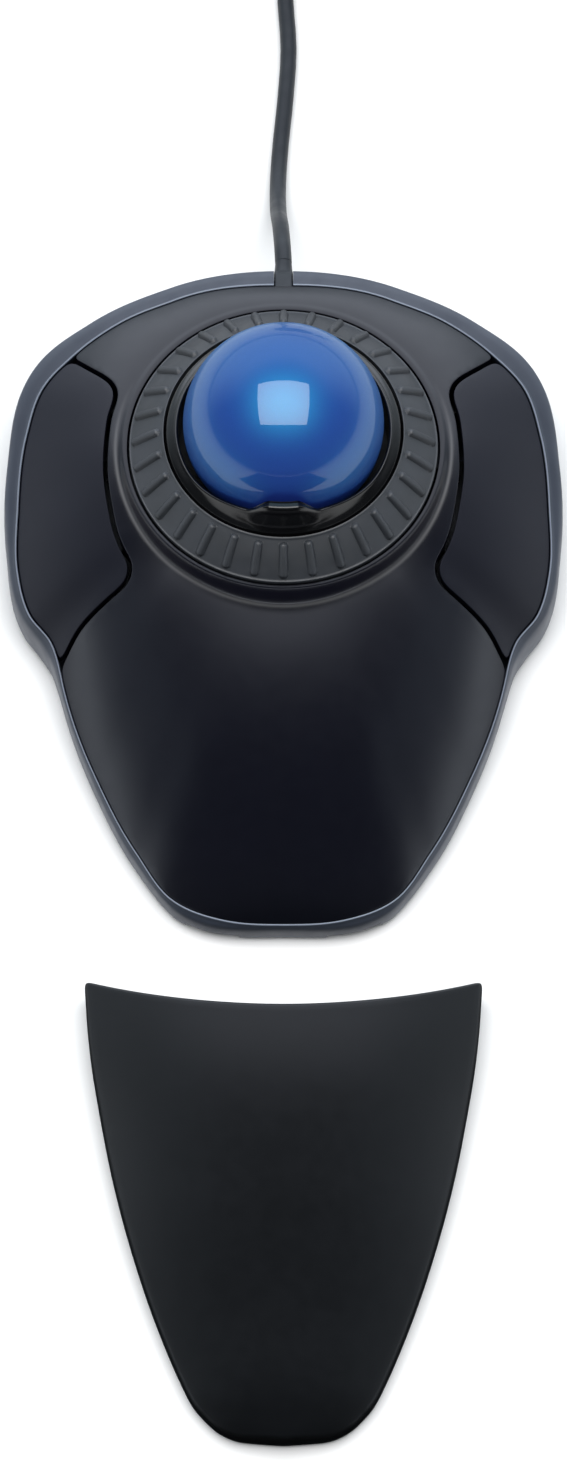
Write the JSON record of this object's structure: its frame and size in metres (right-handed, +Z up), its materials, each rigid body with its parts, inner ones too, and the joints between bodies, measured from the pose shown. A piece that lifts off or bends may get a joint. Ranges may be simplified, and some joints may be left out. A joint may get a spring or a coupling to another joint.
{
  "type": "trackball mouse",
  "caption": "Wired desktop trackball with a thumb-sized ball, a scroll ring round it, a key on each side and a detachable wrist rest.",
  "frame": {"origin": "on the resting plane, under the middle of the box of the mouse and its wrist rest, without the cable", "axes": "+X to the user's right, +Y away from the user towards the cable, +Z up"},
  "size_m": [0.117, 0.399, 0.0575],
  "materials": {
    "cover": "satin moulded shell",
    "housing": "fine matte moulded shell, slate grey",
    "ring": "matte, soft to the touch",
    "gloss_black": "polished",
    "ball": "polished pearl blue resin",
    "rest_rubber": "matte elastomer",
    "foot_rubber": "matte",
    "cable_rubber": "satin jacket",
    "board": "solder mask",
    "inner_black": "moulded",
    "lens": "clear moulded",
    "white_plastic": "moulded",
    "steel": "plated"
  },
  "bodies": {
    "base": {"lower_housing": "housing", "top_cover": "cover", "ball_socket": "inner_black", "ball_bezel": "gloss_black", "main_board": "board", "sensor_board": "board", "sensor_chip": "inner_black", "sensor_lens": "lens", "controller_chip": "inner_black", "cable_connector": "white_plastic", "encoder_sensor": "inner_black", "left_switch_body": "inner_black", "right_switch_body": "inner_black", "cable_strain_relief": "cable_rubber", "cable_lead": "cable_rubber", "cable_run": "cable_rubber", "cable_tail": "cable_rubber", "cable_coil": "cable_rubber", "coil_tie": "foot_rubber", "usb_plug_boot": "cable_rubber", "usb_plug_shell": "steel", "usb_plug_insert": "white_plastic", "ball_bearing_1": "steel", "ball_bearing_2": "steel", "ball_bearing_3": "steel", "rubber_foot_1": "foot_rubber", "housing_screw_1": "steel", "socket_screw_1": "steel", "rubber_foot_2": "foot_rubber", "housing_screw_2": "steel", "socket_screw_2": "steel", "rubber_foot_3": "foot_rubber", "housing_screw_3": "steel", "socket_screw_3": "steel", "rubber_foot_4": "foot_rubber", "housing_screw_4": "steel", "socket_screw_4": "steel", "board_screw_1": "steel", "board_screw_2": "steel"},
    "scroll_ring": {"scroll_ring": "ring", "encoder_wheel": "inner_black"},
    "ball": {"ball": "ball"},
    "left_button": {"left_button": "cover"},
    "right_button": {"right_button": "cover"},
    "left_switch_plunger": {"left_switch_plunger": "white_plastic"},
    "right_switch_plunger": {"right_switch_plunger": "white_plastic"},
    "wrist_rest": {"rest_pad": "rest_rubber", "rest_base": "housing", "rest_foot_1": "foot_rubber", "rest_foot_2": "foot_rubber", "rest_foot_3": "foot_rubber", "rest_foot_4": "foot_rubber"}
  },
  "joints": [
    {"name": "ball_roll", "type": "hinge", "parent": "base", "child": "ball", "pos_m": [0, 0.07795, 0.0375], "axis": [1, 0, 0], "continuous": true},
    {"name": "ring_spin", "type": "hinge", "parent": "base", "child": "scroll_ring", "pos_m": [0, 0.07795, 0.0282], "axis": [0, 0, 1], "continuous": true},
    {"name": "left_press", "type": "hinge", "parent": "base", "child": "left_button", "pos_m": [-0.04, 0.09795, 0.021], "axis": [1, 0, 0], "range_deg": [0, 1.2], "stiffness_Nm_per_rad": 1.2, "springref_deg": -0.57},
    {"name": "right_press", "type": "hinge", "parent": "base", "child": "right_button", "pos_m": [0.04, 0.09795, 0.021], "axis": [1, 0, 0], "range_deg": [0, 1.2], "stiffness_Nm_per_rad": 1.2, "springref_deg": -0.57},
    {"name": "left_click", "type": "slide", "parent": "base", "child": "left_switch_plunger", "axis": [0, 0, -1], "range_m": [0, 0.0008]},
    {"name": "right_click", "type": "slide", "parent": "base", "child": "right_switch_plunger", "axis": [0, 0, -1], "range_m": [0, 0.0008]},
    {"name": "rest_dock", "type": "slide", "parent": "base", "child": "wrist_rest", "axis": [0, 1, 0], "range_m": [0, 0.038]}
  ],
  "couplings": [
    {"joint": "left_click", "follows": "left_press", "m_per_rad": 0.038},
    {"joint": "right_click", "follows": "right_press", "m_per_rad": 0.038}
  ]
}
